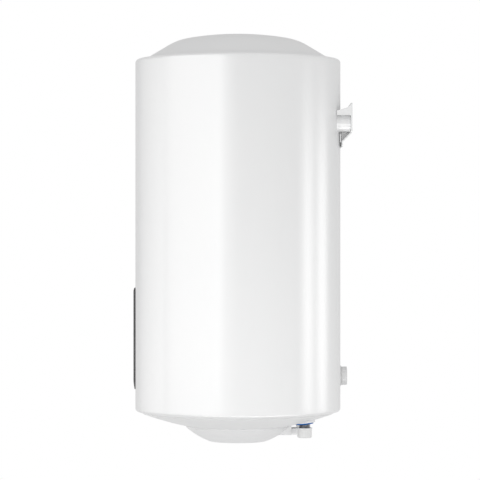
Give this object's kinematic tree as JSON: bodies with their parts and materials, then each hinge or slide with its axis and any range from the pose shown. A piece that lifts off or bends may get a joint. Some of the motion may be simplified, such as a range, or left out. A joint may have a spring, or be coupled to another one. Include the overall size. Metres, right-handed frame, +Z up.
{
  "type": "tank water heater",
  "caption": "Wall-hung upright round storage water heater with a domed top, bowl-shaped service cover, slotted wall bracket, capped pipe nipples, control strip and a rear spacer.",
  "frame": {"origin": "wall plane, midway between the two hook slots of the wall bracket", "axes": "+Z up along the tank, +Y into the wall, +X to the heater's left as seen from the front"},
  "size_m": [0.385, 0.4088, 0.7631],
  "materials": {
    "white_steel": "gloss",
    "white_plastic": "gloss",
    "cap_plastic": "satin",
    "bracket_steel": "zinc plated",
    "zinc_steel": "zinc plated",
    "raw_steel": "threaded steel",
    "enamel": "enamelled",
    "foam": "closed-cell foam",
    "seal_rubber": "matte",
    "element_tube": "satin",
    "anode_metal": "cast",
    "brass": "plain",
    "blue_plastic": "satin",
    "red_plastic": "satin",
    "dark_plastic": "satin",
    "strip_gloss": "gloss",
    "smoked_glass": "gloss",
    "lens": "clear",
    "button_plastic": "satin",
    "board": "matte",
    "reset_red": "satin",
    "grey_plastic": "satin",
    "lead_rubber": "matte"
  },
  "bodies": {
    "heater": {"casing_jacket": "white_steel", "top_cover": "white_plastic", "bottom_cover": "white_plastic", "service_cover": "white_plastic", "service_cover_screws": "zinc_steel", "cover_posts": "zinc_steel", "cable_clamp": "white_plastic", "foam_insulation": "foam", "tank_shell": "enamel", "tank_top_head": "enamel", "tank_bottom_head": "enamel", "flange_neck": "raw_steel", "flange_studs": "zinc_steel", "flange_nuts": "zinc_steel", "flange_gasket": "seal_rubber", "flange_plate": "raw_steel", "heating_element": "element_tube", "element_terminals": "brass", "anode_rod": "anode_metal", "anode_nut": "brass", "sensor_sheath": "element_tube", "sensor_probe": "brass", "thermal_cutout": "dark_plastic", "terminal_block": "grey_plastic", "cold_nipple": "raw_steel", "hot_nipple": "raw_steel", "hot_riser": "element_tube", "cold_diffuser": "grey_plastic", "cold_ring": "blue_plastic", "hot_ring": "red_plastic", "wall_bracket": "bracket_steel", "bracket_bushes": "bracket_steel", "bracket_screws": "zinc_steel", "spacer_socket": "grey_plastic", "strip_frame": "dark_plastic", "strip_face": "strip_gloss", "strip_screws": "zinc_steel", "display_window": "smoked_glass", "indicator_lenses": "lens", "control_box": "dark_plastic", "circuit_board": "board", "display_module": "dark_plastic", "button_switches": "dark_plastic", "strip_lead": "lead_rubber"},
    "cold_cap_body": {"cold_cap": "cap_plastic"},
    "hot_cap_body": {"hot_cap": "cap_plastic"},
    "spacer": {"spacer_pad": "grey_plastic"},
    "power_key": {"power_button": "button_plastic"},
    "minus_key": {"minus_button": "button_plastic"},
    "plus_key": {"plus_button": "button_plastic"},
    "reset_key": {"reset_button": "reset_red"}
  },
  "joints": [
    {"name": "power_press", "type": "slide", "parent": "heater", "child": "power_key", "axis": [0, 1, 0], "range_m": [0, 0.001], "stiffness_N_per_m": 400, "springref_m": -0.002},
    {"name": "minus_press", "type": "slide", "parent": "heater", "child": "minus_key", "axis": [0, 1, 0], "range_m": [0, 0.001], "stiffness_N_per_m": 400, "springref_m": -0.002},
    {"name": "plus_press", "type": "slide", "parent": "heater", "child": "plus_key", "axis": [0, 1, 0], "range_m": [0, 0.001], "stiffness_N_per_m": 400, "springref_m": -0.002},
    {"name": "reset_press", "type": "slide", "parent": "heater", "child": "reset_key", "axis": [0, 0, 1], "range_m": [0, 0.0015], "stiffness_N_per_m": 500, "springref_m": -0.002},
    {"name": "cold_cap_pull", "type": "slide", "parent": "heater", "child": "cold_cap_body", "axis": [0, 0, -1], "range_m": [0, 0.022]},
    {"name": "hot_cap_pull", "type": "slide", "parent": "heater", "child": "hot_cap_body", "axis": [0, 0, -1], "range_m": [0, 0.022]},
    {"name": "spacer_slide", "type": "slide", "parent": "heater", "child": "spacer", "axis": [0, 1, 0], "range_m": [0, 0.0074]}
  ]
}
